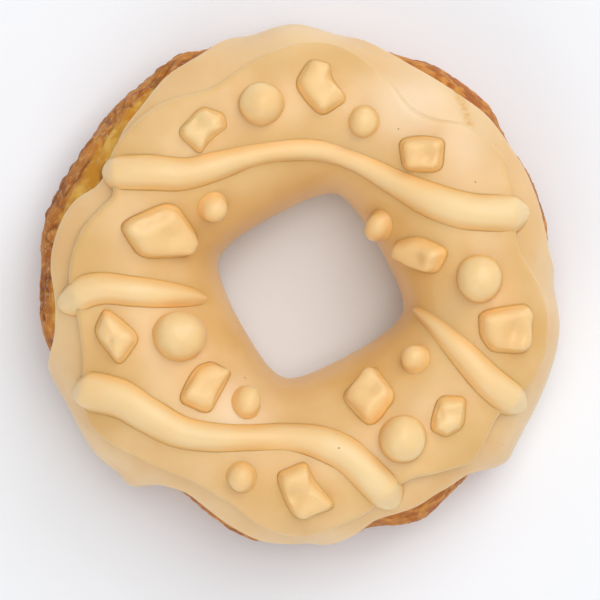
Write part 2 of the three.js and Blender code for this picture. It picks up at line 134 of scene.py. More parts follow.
# The strips: the middle line of each seen from above, as (x, y, width).
STRIP_RISE = 0.34
STRIP_DRAPE = 8
STRIPS = {
    "strip_top": (
        (-35.4, 19.5, 5.5), (-27.0, 19.5, 5.7), (-21.0, 19.2, 5.2), (-15.5, 20.5, 4.6),
        (-9.4, 22.3, 3.8), (-3.2, 23.3, 3.4), (3.2, 23.3, 3.5), (9.4, 21.4, 3.8),
        (15.6, 18.2, 4.6), (22.6, 14.7, 5.6), (29.5, 12.6, 6.1), (40.2, 12.2, 6.4)),
    "strip_left": (
        (-43.0, -4.7, 4.9), (-38.6, -1.7, 5.1), (-35.0, -1.0, 4.9), (-30.2, -1.5, 4.7),
        (-24.9, -2.0, 4.2), (-19.9, -2.5, 2.9), (-17.0, -2.9, 1.2)),
    "strip_right": (
        (20.0, -4.6, 1.2), (23.2, -7.2, 2.6), (26.4, -10.4, 3.7), (29.8, -14.0, 4.6),
        (33.2, -17.6, 5.1), (39.4, -22.4, 5.6)),
    "strip_bottom": (
        (-40.6, -18.9, 7.2), (-32.6, -20.4, 6.7), (-27.4, -23.4, 5.8), (-21.8, -26.3, 5.1),
        (-16.2, -27.3, 4.4), (-9.4, -27.4, 4.0), (-3.0, -27.2, 4.5), (2.4, -28.0, 5.5),
        (6.9, -29.8, 5.9), (10.0, -32.2, 5.9), (13.0, -35.3, 5.9), (17.0, -39.6, 6.2)),
}

# The pearls: where each sits, its half length and width, and where it points.
PEARL_RISE = 0.42
SMALL_PEARLS = (
    ((-15.9, 13.5), (2.3, 2.3), 0),
    ((10.9, 28.5), (2.4, 2.25), 90),
    ((14.1, 10.3), (3.5, 2.1), 38),
    ((-9.9, -21.2), (2.75, 2.15), 76),
    ((20.2, -13.6), (2.2, 2.2), 0),
    ((-10.7, -34.4), (2.3, 2.2), 90),
)
LARGE_PEARLS = (
    ((-7.2, 31.6), (3.7, 3.6), 0),
    ((31.4, 0.7), (3.95, 3.9), 90),
    ((-21.9, -9.6), (4.5, 4.1), 0),
    ((17.8, -27.6), (4.0, 3.9), 90),
)

# The chunks: the corners of each seen from above, anticlockwise, how high it stands, and the dents
# in its top as (x, y, reach, depth), where a negative depth is a lump.
CHUNKS = (
    (((-22.1, 26.6), (-18.0, 22.7), (-16.2, 25.6), (-13.4, 27.3), (-13.8, 29.6), (-17.7, 31.1)), 2.7,
     ((-18.8, 28.5, 1.6, 0.8), (-15.4, 28.6, 1.4, -0.3))),
    (((3.3, 29.4), (7.9, 32.6), (5.0, 36.1), (4.9, 39.0), (1.6, 39.6), (-1.2, 35.2)), 2.6,
     ((4.6, 36.0, 1.4, 0.4), (5.6, 33.6, 1.3, -0.3))),
    (((17.8, 19.8), (24.5, 19.7), (25.2, 25.5), (17.3, 25.5)), 2.9,
     ((22.4, 22.2, 1.7, 0.9), (24.0, 24.6, 1.3, -0.3))),
    (((-32.6, 10.4), (-28.5, 4.4), (-19.4, 4.7), (-18.1, 7.6), (-22.8, 14.5)), 3.4,
     ((-24.0, 8.2, 2.2, 0.5), (-29.0, 11.4, 1.7, 0.9), (-26.0, 12.8, 1.6, 0.7))),
    (((16.3, 4.9), (19.6, 2.7), (23.8, 1.7), (25.3, 5.8), (20.2, 8.2), (16.5, 7.2)), 2.8,
     ((21.9, 4.6, 1.3, 0.7), (18.4, 6.2, 2.0, -0.3))),
    (((31.2, -5.2), (31.7, -9.6), (33.6, -12.0), (40.8, -12.4), (41.1, -3.6)), 3.1,
     ((37.4, -8.6, 2.1, 1.4), (36.6, -11.0, 1.8, 0.6), (40.1, -7.6, 1.3, -0.3))),
    (((-36.6, -8.7), (-32.4, -14.8), (-28.5, -9.6), (-34.8, -4.5)), 2.8,
     ((-33.8, -10.3, 0.8, 0.4), (-32.0, -9.0, 1.6, -0.2))),
    (((-21.9, -20.9), (-16.2, -22.9), (-14.3, -18.6), (-12.3, -15.6), (-15.9, -14.1), (-18.9, -15.2)),
     2.4, ((-16.8, -18.4, 2.2, 0.3),)),
    (((7.0, -20.6), (12.1, -25.4), (16.6, -19.8), (12.4, -14.3)), 3.0,
     ((13.2, -19.0, 1.8, 0.7), (10.4, -21.2, 1.6, -0.25))),
    (((22.7, -25.8), (25.6, -27.3), (28.3, -25.4), (28.9, -20.4), (24.3, -20.3)), 2.5,
     ((24.0, -23.0, 1.2, 0.8), (26.2, -23.0, 1.0, 0.45), (28.2, -22.9, 1.3, 0.7))),
    (((-4.8, -34.0), (-0.9, -42.6), (6.2, -39.5), (1.9, -35.2), (0.7, -31.7)), 2.9,
     ((-1.4, -37.6, 2.2, 1.2),)),
)
CHUNK_CORNER_ROUNDING = 0.28
CHUNK_CORNER_LIFT = 0.4
CHUNK_DISH = 0.12
CHUNK_EDGE = 2.9

# Where a topping meets the glaze it flares out in a small fillet. Its colour deepens within the
# crease's height and the glaze's within the halo, as painted shade with some pooled glaze, and its
# sides follow the glaze up to a height.
FLARE = 0.8
FLARE_HEIGHT = 0.36
FOOT_DEPTH = 0.35
CREASE_SHADE_HEIGHT = 0.6
SHADE_HALO = 1.3
FOLLOW_HEIGHT = 1.2

# The toppings' meshes.
STRIP_STATIONS = 170
STRIP_POINTS = 31
PEARL_RINGS = 48
PEARL_POINTS = 72
CHUNK_RINGS = 45
CHUNK_CORNER_POINTS = 15


def wave(degrees):
    """Sine of an angle in degrees."""
    return np.sin(np.radians(degrees))


def ease(value, low, high):
    """A smooth step from 0 below low to 1 above high."""
    t = np.clip((value - low) / (high - low), 0, 1)
    return t * t * (3 - 2 * t)


def length_of(vectors):
    """Lengths along the last axis, kept as an axis of one."""
    return np.linalg.norm(vectors, axis=-1, keepdims=True)


def through(knots, values, places):
    """Cubic pieces through (knot, value) pairs; the slope at a knot is its neighbours' chord."""
    slopes = np.gradient(values, knots, axis=0)
    slopes[1:-1] = (values[2:] - values[:-2]) / (knots[2:] - knots[:-2])
    i = np.clip(np.searchsorted(knots, places, side="right") - 1, 0, len(knots) - 2)
    h = knots[i + 1] - knots[i]
    t = (places - knots[i]) / h
    bend = h * t * (1 - t) * ((1 - t) * slopes[i] - t * slopes[i + 1])
    return values[i] + (values[i + 1] - values[i]) * t * t * (3 - 2 * t) + bend


def around(pairs):
    """A smooth closed curve through (turn, value) pairs, as a function of the turn."""
    turns, values = np.array(pairs, dtype=float).T
    knots = np.concatenate([turns - 360, turns, turns + 360])
    repeated = np.tile(values, 3)
    return lambda turn: through(knots, repeated, np.mod(turn, 360))


dough_reach = around(DOUGH_REACH)
skirt_edge = around(SKIRT_EDGE)
scallop_reach = around(SCALLOP_REACH)


def fbm(points, size, octaves, seed):
    """Smooth noise of about -1 to 1 in space: random lattices whose corners are blended with a cubic
    step, each octave half as coarse and half as strong as the one before."""
    draw = np.random.default_rng(seed)
    total = np.zeros(points.shape[:-1])
    for octave in range(octaves):
        lattice = draw.uniform(-1, 1, (32, 32, 32))
        cell = points * 2 ** octave / size
        base = np.floor(cell).astype(int)
        t = cell - base
        t = t * t * (3 - 2 * t)
        for corner in np.ndindex(2, 2, 2):
            share = np.prod(np.where(corner, t, 1 - t), axis=-1)
            x, y, z = np.moveaxis((base + corner) % 32, -1, 0)
            total += lattice[x, y, z] * share / 2 ** octave
    return total


def heading(turn):
    """Unit vectors in the plane at each turn."""
    return np.stack([wave(turn + 90), wave(turn)], axis=-1)


def hole_edge(turn):
    """The dough's edge in the hole: a superellipse, opened out by what the coats take up."""
    local = np.abs(heading(turn - HOLE_TURN))
    power = np.sum(local ** HOLE_SQUARENESS, axis=-1) ** (-1 / HOLE_SQUARENESS)
    return heading(turn) * (HOLE_HALF_WIDTH * power + TOP_COAT_OVER)[..., None] + HOLE_CENTRE


def dough_point(turn, section):
    """A point of the smooth dough: the way from the hole's edge to the outer edge follows the cosine
    of the section, and the height its sine, each raised to a power that flattens the belly."""
    x, y = np.moveaxis(heading(section), -1, 0)
    power = 2 / np.where(y >= 0, CREST_ROUNDNESS, BELLY_ROUNDNESS)
    share = 0.5 + 0.5 * np.sign(x) * np.abs(x) ** power
    swell = CREST_RISE * (1 + CREST_SWELL * wave(3 * turn + 50))
    rise = np.where(y >= 0, swell, -BELLY_DROP) * np.abs(y) ** power
    inner = hole_edge(turn)
    outer = heading(turn) * dough_reach(turn)[..., None]
    plan = inner + (outer - inner) * share[..., None]
    return np.concatenate([plan, (WIDEST_LEVEL + rise)[..., None]], axis=-1)


def dough_normal(turn, section):
    """The outward normal there, from the cross product of two short steps along the surface."""
    step = 0.5
    round_ring = dough_point(turn + step, section) - dough_point(turn - step, section)
    across = dough_point(turn, section + step) - dough_point(turn, section - step)
    normal = np.cross(round_ring, across)
    return normal / length_of(normal)


def lifted(turn, section, lift):
    """The same point lifted off the dough along its normal."""
    return dough_point(turn, section) + dough_normal(turn, section) * np.asarray(lift)[..., None]


def ring_width(turn):
    """How wide the dough ring is at a turn."""
    return dough_reach(turn) - length_of(hole_edge(turn))[..., 0]


def share_of_width(turn, reach):
    """The share of the way from the hole's edge to the outer edge of a reach seen from above."""
    return (reach - length_of(hole_edge(turn))[..., 0]) / ring_width(turn)


def scallop_edge(turn):
    """The scalloped edge as a section."""
    share = share_of_width(turn, scallop_reach(turn) - (FIRST_COAT_OVER + 0.3) * 0.6)
    return np.degrees(np.arccos(np.clip(2 * share - 1, 0, 1) ** (CREST_ROUNDNESS / 2)))


def glaze_lift(turn, section):
    """How far the top coat's surface stands off, which falls to the first coat past its edge."""
    edge = scallop_edge(turn)
    past = ease(section, edge - STRIP_DRAPE, edge + STRIP_DRAPE)
    return FIRST_COAT_OVER + (TOP_COAT_OVER - FIRST_COAT_OVER) * past


def over(x, y):
    """The turn and section at which the top coat passes over (x, y), by Newton's method."""
    step = 0.2
    turn = np.degrees(np.arctan2(y, x))
    share = np.clip(share_of_width(turn, np.hypot(x, y)), 0.05, 0.95)
    section = np.degrees(np.arccos(2 * share - 1))
    for _ in range(14):
        lift = glaze_lift(turn, section)
        p = lifted(turn, section, lift)
        by_turn = (lifted(turn + step, section, lift) - p) / step
        by_section = (lifted(turn, section + step, lift) - p) / step
        det = by_turn[..., 0] * by_section[..., 1] - by_turn[..., 1] * by_section[..., 0]
        dx, dy = x - p[..., 0], y - p[..., 1]
        turn = turn + (dx * by_section[..., 1] - dy * by_section[..., 0]) / det
        section = section + (dy * by_turn[..., 0] - dx * by_turn[..., 1]) / det
        section = np.clip(section, 3, 177)
    return turn, section


def glaze_at(turn, section):
    """The glaze's point and normal at a turn and section."""
    return lifted(turn, section, glaze_lift(turn, section)), dough_normal(turn, section)


def closest_on_glaze(points, turn, section):
    """The glaze's point and normal closest to each of some points near it, by least squares steps
    along the surface from a turn and section close by."""
    step = 0.2
    turn = np.broadcast_to(turn, points.shape[:-1])
    section = np.broadcast_to(section, points.shape[:-1])
    for _ in range(6):
        lift = glaze_lift(turn, section)
        base = lifted(turn, section, lift)
        by_turn = (lifted(turn + step, section, lift) - base) / step
        by_section = (lifted(turn, section + step, lift) - base) / step
        away = points - base
        a = np.sum(by_turn * by_turn, axis=-1)
        b = np.sum(by_turn * by_section, axis=-1)
        c = np.sum(by_section * by_section, axis=-1)
        p = np.sum(by_turn * away, axis=-1)
        q = np.sum(by_section * away, axis=-1)
        det = a * c - b * b
        turn = turn + (c * p - b * q) / det
        section = section + (a * q - b * p) / det
    return glaze_at(turn, section)


def ring_faces(rows, columns):
    """Quads of a grid that closes on itself both ways."""
    index = np.arange(rows * columns).reshape(rows, columns)
    beside = np.roll(index, -1, axis=1)
    quads = [index, beside, np.roll(beside, -1, axis=0), np.roll(index, -1, axis=0)]
    return np.stack(quads, axis=-1).reshape(-1, 4).tolist()


def capped_faces(rows, columns):
    """Quads of a grid that closes on itself along its rows, and triangles that join its first and
    last rows to two poles, which follow the grid's own points."""
    index = np.arange(rows * columns).reshape(rows, columns)
    beside = np.roll(index, -1, axis=1)
    quads = np.stack([index[:-1], beside[:-1], beside[1:], index[1:]], axis=-1).reshape(-1, 4)
    first = np.full(columns, rows * columns)
    start = np.stack([first, beside[0], index[0]], axis=-1)
    end = np.stack([index[-1], beside[-1], first + 1], axis=-1)
    return quads.tolist() + start.tolist() + end.tolist()


def make_piece(name, points, faces, finish, slot, nodes, **fields):
    """Puts points in millimetres into a smooth mesh with its finish, attaches it to the root body,
    and hides the parts of the model that it replaces.
    """
    mesh = bpy.data.meshes.new(name)
    mesh.from_pydata((points.reshape(-1, 3) * MM).tolist(), [], faces)
    for label, values in fields.items():
        field = mesh.attributes.new(label, "FLOAT", "POINT")
        field.data.foreach_set("value", np.asarray(values, dtype=np.float32).ravel())
    mesh.shade_smooth()
    mesh.materials.append(finish)
    piece = bpy.data.objects.new(name, mesh)
    bpy.context.scene.collection.objects.link(piece)
    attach(piece, "root")
    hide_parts(*nodes)


def turns_round(columns):
    """Even turns all round, one for each column."""
    return np.arange(columns) * 360 / columns


def make_dough(finish):
    """The fried ring: the smooth dough with wrinkles on its sides, pulled in along the normal by
    crossed waves, and blisters, fine furrows and crags from noise that fade where the coats cover
    it and where the crust is smoother. Its rows crowd towards the outer side, as an even angle less
    a part of its sine does, and no point lies below the resting surface."""
    even = turns_round(DOUGH_ROWS)[:, None]
    rows = even - np.degrees(ROW_CROWDING * wave(even))
    section = np.repeat(rows, DOUGH_COLUMNS, axis=1)
    turn = np.broadcast_to(turns_round(DOUGH_COLUMNS), section.shape)
    smooth = dough_point(turn, section)
    side = np.clip(wave(section + 90) - WRINKLE_FADE, 0, None) / (1 - WRINKLE_FADE)
    crossed = wave(9 * turn + 2 * section) * wave(14 * turn - section + 90)
    bare = ease(skirt_edge(turn) - np.mod(section + 90, 360) + 90, -4, 2)
    bare = np.where(np.mod(section + 90, 360) > 260, 1, bare)
    crag = fbm(smooth, CRAG_SIZE, 2, SEED)
    blister = np.clip(fbm(smooth, BLISTER_SIZE, 2, SEED + 1) - 0.25, 0, None)
    grain = fbm(smooth, GRAIN_SIZE, 3, SEED + 2)
    furrow = np.exp(-(fbm(smooth, FURROW_SIZE, 2, SEED + 6) / FURROW_WIDTH) ** 2)
    plain = sum(np.exp(-((turn - place) / reach) ** 2) for place, reach in PLAIN_CRUST)
    furrow = furrow * (1 - 0.7 * plain)
    blister = blister * (1 - 0.5 * plain)
    lift = -WRINKLE_DEPTH * side * (0.5 + 0.5 * crossed)
    relief = CRAG_LIFT * crag + BLISTER_LIFT * blister + GRAIN_LIFT * grain
    lift = lift + bare * (relief - FURROW_DEPTH * furrow)
    points = smooth + dough_normal(turn, section) * lift[..., None]
    lowest = np.maximum(BELLY_GRAIN * (1 + grain) * (1 - side), 0)
    points[..., 2] = np.maximum(points[..., 2], lowest)
    band = 0.35 + 0.65 * ease(wave(turn - 60), 0, 0.9)
    golden = ease(wave(section), 0.42, 0.78) * band
    make_piece("dough_crust", points, ring_faces(*turn.shape), finish, "crust", ["dough"],
               golden=golden, relief=crag + 2 * blister, furrow=furrow * bare, plain=plain)


def coat_rows(start, end, count):
    """Rows from start to end that crowd towards both ends, as the cosine of an even angle does."""
    share = 0.5 - 0.5 * np.cos(np.linspace(0, np.pi, count))
    return start + (end - start) * share[:, None]


def beside_toppings(points):
    """How far points lie outside the nearest topping or strip seen from above, and no less than 0."""
    rounds = [(*place, max(half)) for place, half, _ in SMALL_PEARLS + LARGE_PEARLS]
    for line in STRIPS.values():
        x, y, width = np.array(line).T
        knots = np.arange(len(x))
        at = np.linspace(0, knots[-1], 8 * len(x))
        rounds += zip(through(knots, x, at), through(knots, y, at), through(knots, width, at) / 2)
    for corners, _, _ in CHUNKS:
        middle, outline = chunk_outline(corners, 4)
        rounds += [(*place, 1.4) for place in middle + 0.72 * outline]
    nearest = np.full(points.shape[:-1], 99.0)
    for x, y, radius in rounds:
        apart = np.hypot(points[..., 0] - x, points[..., 1] - y) - radius
        nearest = np.minimum(nearest, apart)
    return np.clip(nearest, 0, None)


def roughness_of_overlap(points):
    """1 on the line where one flow ran over another seen from above, falling away beside it."""
    start, end = np.array(OVERLAP)
    along = end - start
    away = points[..., :2] - start
    share = np.clip(away @ along / (along @ along), 0, 1)
    apart = length_of(away - share[..., None] * along)[..., 0]
    return np.exp(-(apart / OVERLAP_REACH) ** 2) * (points[..., 2] > WIDEST_LEVEL)


def painted_sheen_of(points):
    """How much whitish sheen is painted into the glaze at points seen from above."""
    share = np.zeros(points.shape[:-1])
    for x, y, reach, strength in PAINTED_SHEEN_PATCHES:
        apart = np.hypot(points[..., 0] - x, points[..., 1] - y)
        share = np.maximum(share, strength * np.exp(-(apart / reach) ** 2))
    return share


def make_coat(name, node, finish, edge, inner_end, under, over, lip, roll):
    """A coat: over its upper rows a skin whose thickness grows from nothing at both ends as a quarter
    ellipse, with a faint roll along the outer edge, closed by a few rows sunk into what it covers."""
    turns = turns_round(COAT_COLUMNS)
    start = edge(turns)
    end = np.full(COAT_COLUMNS, float(inner_end))
    section = np.concatenate([
        coat_rows(start, end, COAT_UPPER_ROWS), coat_rows(end, start, COAT_LOWER_ROWS)])
    turn = np.broadcast_to(turns, section.shape)
    per_degree = np.radians(1) * 0.5 * ring_width(turns)
    from_start = (section - start) * per_degree
    from_end = (end - section) * per_degree
    full = np.sqrt(1 - (1 - np.clip(np.minimum(from_start, from_end) / lip, 0, 1)) ** 2)
    swell = 1 + roll * np.exp(-((from_start - lip) / lip) ** 2)
    lift = under + (over - under) * full * swell
    lift[COAT_UPPER_ROWS:] = under - SUNK
    smooth = dough_point(turn, section)
    for i, (size, flow) in enumerate(FLOWS):
        lift = lift + flow * full * fbm(smooth, size, 2, SEED + 3 + i)
    rough = np.zeros_like(lift)
    if node == "first_coat":
        for place, reach, thickness in DRIPS:
            drop = np.exp(-((turn - place) / reach) ** 2) * ease(section, 45, 5)
            lift = lift + full * thickness * drop
        rough = roughness_of_overlap(smooth)
        lift = lift + OVERLAP_RELIEF * full * rough * fbm(smooth, 0.9, 2, SEED + 7)
    points = smooth + dough_normal(turn, section) * lift[..., None]
    # Painted shade with some pooled glaze: the colour deepens towards the hole and, on the top coat,
    # round the toppings.
    pooled = POOL_AND_SHADE_IN_HOLE * ease(section, 112, 176)
    if node == "top_coat":
        beside = np.exp(-beside_toppings(points) / SHADE_HALO)
        pooled = np.maximum(pooled, POOL_AND_SHADE_AT_TOPPINGS * beside)
    make_piece(name, points, ring_faces(*turn.shape), finish, "glaze", [node], pooled=pooled,
               rough=rough, milky=painted_sheen_of(points))


def settled(flat, normal, height, turn, section):
    """Points of a topping at heights over flat, its foot laid out on the plane that touches the
    glaze. Low parts follow the glaze beneath them instead, and within a millimetre ease off it."""
    base, own_normal = closest_on_glaze(flat, turn, section)
    follow = base + own_normal * height[..., None]
    own = flat + normal * height[..., None]
    return follow + (own - follow) * ease(height, 0, FOLLOW_HEIGHT)[..., None]


def flare(height):
    """How far a side stands out at a height above the glaze."""
    return FLARE * (np.exp(-np.clip(height, 0, None) / FLARE_HEIGHT) - 0.5)


def crease_shade_of(height):
    """Painted shade, with some pooled glaze, at a topping's foot: 1 where it meets the glaze, falling
    away with its height.
    """
    return np.exp(-np.clip(height, 0, None) / CREASE_SHADE_HEIGHT)


def make_strip(name, line, finish):
    """A strip: stations along a smooth line, each a dome half as wide as the strip to either side,
    with sides that flare out where they meet the glaze, and ends rounded as quarter ellipses."""
    x, y, width = np.array(line).T
    knots = np.concatenate([[0], np.cumsum(np.hypot(np.diff(x), np.diff(y)))])
    even = np.linspace(0, np.pi, STRIP_STATIONS + 2)[1:-1]
    at = knots[-1] * (0.5 - 0.5 * np.cos(even))
    plan = np.stack([through(knots, x, at), through(knots, y, at), np.zeros_like(at)], axis=1)
    wide = through(knots, width, at) * (1 + 0.04 * fbm(plan, 8, 2, SEED + 5))
    turn, section = over(plan[:, 0], plan[:, 1])
    base, normal = glaze_at(turn, section)
    side = np.cross(normal, np.gradient(plan, at, axis=0))
    side = side / length_of(side)
    from_end = np.clip(np.minimum(at, knots[-1] - at) / (0.5 * wide), 0, 1)
    full = np.sqrt(1 - (1 - from_end) ** 2)[:, None]
    angle = np.linspace(0, 180, STRIP_POINTS)
    top = STRIP_RISE * wide[:, None] * full * wave(angle)
    out = (0.5 * wide[:, None] + flare(top)) * full * wave(angle + 90)
    under = np.full((len(at), 4), -FOOT_DEPTH)
    height = np.concatenate([top, under], axis=1)
    out = np.concatenate([out, out[:, [-1, -10, 9, 0]] * 0.9], axis=1)
    flat = base[:, None] - side[:, None] * out[..., None]
    loops = settled(flat, normal[:, None], height, turn[:, None], section[:, None])
    points = np.concatenate([loops.reshape(-1, 3), base[[0, -1]]])
    make_piece(name, points, capped_faces(*height.shape), finish, "glaze", ["top_coat"],
               pooled=np.append(crease_shade_of(height), [1, 1]))


def make_pearl(name, place, half, points_to, finish, slot, nodes, seed):
    """A pearl: an ellipsoid of angles round and down from its pole, whose side flares out where it
    meets the glaze, and whose underside closes just below the glaze."""
    turn, section = over(*np.array(place))
    centre, normal = glaze_at(turn, section)
    ahead = np.append(heading(np.float64(points_to)), 0)
    first = ahead - normal * np.dot(ahead, normal)
    first = first / np.linalg.norm(first)
    second = np.cross(normal, first)
    angle = turns_round(PEARL_POINTS)
    down = np.linspace(0, 180, PEARL_RINGS + 2)[1:-1, None]
    rise = half[1] * (PEARL_RISE + wave(down + 90))
    height = np.broadcast_to(rise, (PEARL_RINGS, PEARL_POINTS))
    at_glaze = np.sqrt(1 - PEARL_RISE ** 2)
    spread = np.where(height > 0, wave(down), at_glaze * (1 - ease(-height, 0, half[1])))
    out = (flare(height) + 0.5 * FLARE) * np.where(height > 0, 1, spread / at_glaze)
    along = (half[0] * spread + out) * wave(angle + 90)
    across = (half[1] * spread + out) * wave(angle)
    height = np.maximum(height, -FOOT_DEPTH)
    flat = centre + first * along[..., None] + second * across[..., None]
    lumps = 1 + 0.035 * fbm(flat + normal * height[..., None], 3.5, 2, seed)
    flat = centre + (flat - centre) * lumps[..., None]
    grid = settled(flat, normal, height * lumps, turn, section)
    poles = np.stack([grid[0].mean(axis=0), centre - normal * FOOT_DEPTH])
    turned = [face[::-1] for face in capped_faces(*height.shape)]
    make_piece(name, np.concatenate([grid.reshape(-1, 3), poles]), turned, finish, slot, nodes,
               pooled=np.append(crease_shade_of(height), [0, 1]))


def chunk_outline(corners, steps):
    """The chunk's middle and its outline about it: straight sides, and corners rounded by quadratic
    curves from a share of the way along one side to the same share along the next."""
    corners = np.array(corners)
    start = corners + (np.roll(corners, 1, axis=0) - corners) * CHUNK_CORNER_ROUNDING
    end = corners + (np.roll(corners, -1, axis=0) - corners) * CHUNK_CORNER_ROUNDING
    t = (np.arange(steps) / steps)[:, None, None]
    bends = start * (1 - t) ** 2 + corners * 2 * t * (1 - t) + end * t ** 2
    sides = end + (np.roll(start, -1, axis=0) - end) * t
    outline = np.concatenate([bends, sides]).transpose(1, 0, 2).reshape(-1, 2)
    middle = corners.mean(axis=0)
    return middle, outline - middle


def smooth_round(values, reach):
    """Values round a closed outline, each the mean of those within a reach on either side."""
    return np.mean([np.roll(values, shift) for shift in range(-reach, reach + 1)], axis=0)


def make_chunk(index, corners, tall, dents, finish):
    """A chunk: an outline spread by the sine, and raised by the cosine, of an angle down from its
    middle, both to a power that squares the block off, with raised corners and dents in its top."""
    middle, outline = chunk_outline(corners, CHUNK_CORNER_POINTS)
    turn, section = over(*middle)
    centre, normal = glaze_at(turn, section)
    size = np.mean(length_of(outline))
    down = np.linspace(0, 90, CHUNK_RINGS + 1)[1:, None]
    spread = wave(down) ** (2 / CHUNK_EDGE)
    share = wave(90 - down) ** (2 / CHUNK_EDGE)
    corner = smooth_round(length_of(outline)[..., 0] / size - 1, len(outline) // 16)
    dish = 1 - CHUNK_DISH * (1 - spread ** 2)
    height = tall * share * dish * (1 + CHUNK_CORNER_LIFT * spread * corner)
    out = outline * spread[..., None]
    place = middle + out
    for x, y, reach, depth in dents:
        apart = (place[..., 0] - x) ** 2 + (place[..., 1] - y) ** 2
        height = height - depth * np.exp(-apart / reach ** 2) * ease(share, 0.3, 0.9)
    lumps = fbm(np.append(place, height[..., None], axis=-1), 4.5, 2, SEED + 20 + index)
    height = height + 0.22 * lumps * ease(share, 0.2, 0.8)
    sides = fbm(np.append(place, height[..., None] + 50, axis=-1), 3.6, 2, SEED + 40 + index)
    away = outline / length_of(outline)
    out = out + away * ((flare(height) + 0.16 * sides) * spread)[..., None]
    out = np.concatenate([out, out[-1:] * 0.9])
    height = np.concatenate([height, np.full((1, height.shape[1]), -FOOT_DEPTH)])
    fall = -(normal[0] * out[..., 0] + normal[1] * out[..., 1]) / normal[2]
    flat = centre + np.append(out, fall[..., None], axis=-1)
    grid = settled(flat, normal, height, turn, section)
    poles = np.stack([grid[0].mean(axis=0), centre - normal * FOOT_DEPTH])
    turned = [face[::-1] for face in capped_faces(*height.shape)]
    node = f"chunk_{index + 1}"
    make_piece(node + "_glazed", np.concatenate([grid.reshape(-1, 3), poles]), turned, finish,
               "topping", [node], pooled=np.append(crease_shade_of(height), [0, 1]))


class Value:
    """A shader socket on which sums are written as on numbers."""

    def __init__(self, finish, socket):
        self.finish = finish
        self.socket = socket

    def part(self, name):
        """Another output of the same node."""
        return Value(self.finish, self.socket.node.outputs[name])

    def sum_with(self, operation, first, second):
        return self.finish.node("ShaderNodeMath", {"operation": operation}, {0: first, 1: second})

    def __add__(self, other):
        return self.sum_with("ADD", self, other)

    __radd__ = __add__

    def __sub__(self, other):
        return self.sum_with("SUBTRACT", self, other)

    def __rsub__(self, other):
        return self.sum_with("SUBTRACT", other, self)

    def __mul__(self, other):
        return self.sum_with("MULTIPLY", self, other)

    __rmul__ = __mul__

    def over(self, low, high):
        """A smooth step from 0 at low to 1 at high."""
        return self.finish.node(
            "ShaderNodeMapRange", {"interpolation_type": "SMOOTHSTEP"},
            {"Value": self, "From Min": low, "From Max": high})


class Finish:
    """A material under construction, with its nodes."""

    def __init__(self, name):
        self.material = bpy.data.materials.new(name)
        self.material.use_nodes = True
        self.tree = self.material.node_tree
        self.shader = self.tree.nodes["Principled BSDF"]
        self.place = self.node("ShaderNodeTexCoord").part("Object")

    def node(self, kind, settings=None, inputs=None):
        """A node with its settings, then the values or links of its sockets."""
        node = self.tree.nodes.new(kind)
        for name, value in (settings or {}).items():
            setattr(node, name, value)
        self.feed(node, inputs or {})
        return Value(self, node.outputs[0])

    def feed(self, node, inputs):
        for name, value in inputs.items():
            if isinstance(value, Value):
                self.tree.links.new(value.socket, node.inputs[name])
            else:
                node.inputs[name].default_value = value

    def field(self, name):
        """A number stored at the mesh's points."""
        return self.node("ShaderNodeAttribute", {"attribute_name": name}).part("Fac")

    def noise(self, size_mm, detail=2.0, roughness=0.5):
        """Noise of about 0 to 1 whose features are size_mm across."""
        return self.node("ShaderNodeTexNoise", {}, {
            "Vector": self.place, "Scale": 1 / (size_mm * MM), "Detail": detail,
            "Roughness": roughness})

    def specks(self, spacing_mm):
        """The distance to the nearest of scattered points, as a share of their spacing."""
        return self.node("ShaderNodeTexVoronoi", {}, {
            "Vector": self.place, "Scale": 1 / (spacing_mm * MM)})

    def mix(self, mask, first, second):
        """A colour between two, by a mask."""
        mixed = self.node("ShaderNodeMix", {"data_type": "RGBA", "clamp_factor": True}, {
            0: mask, 6: first, 7: second})
        return mixed.part(2)

    def bump(self, height, strength, depth_mm):
        return self.node("ShaderNodeBump", {}, {
            "Height": height, "Strength": strength, "Distance": depth_mm * MM})


def srgb(red, green, blue):
    """A colour given as it shows on a screen, 0 to 255, as the shader's linear one."""
    share = np.array([red, green, blue]) / 255
    linear = np.where(share <= 0.04045, share / 12.92, ((share + 0.055) / 1.055) ** 2.4)
    return (*linear.tolist(), 1.0)


COAT_PALE = srgb(243, 206, 152)
COAT_MID = srgb(236, 191, 128)
GLAZE_PALE = srgb(238, 199, 138)
GLAZE_MID = srgb(229, 184, 114)
# The deepest glaze colour: painted shade with some pooled glaze, in the hole and round the toppings.
GLAZE_POOL_AND_SHADE = srgb(226, 170, 80)
STRIP_PALE = srgb(252, 221, 168)
STRIP_MID = srgb(250, 211, 152)
TOPPING_PALE = srgb(252, 215, 156)
TOPPING_MID = srgb(249, 205, 142)
# The toppings' deepest colour: painted shade in the creases at their feet, with some pooled glaze.
TOPPING_CREASE_SHADE = srgb(246, 184, 100)
# A painted whitish sheen.
PAINTED_SHEEN_WHITE = srgb(252, 230, 202)
SPECK = srgb(140, 88, 36)
OVERLAP_GOLD = srgb(228, 178, 92)
PINHOLE_SPACING = 4.2
COAT_SHEEN, COAT_DEPTH = 0.85, 2.0
TOPPING_SHEEN, TOPPING_DEPTH = 0.5, 0.7


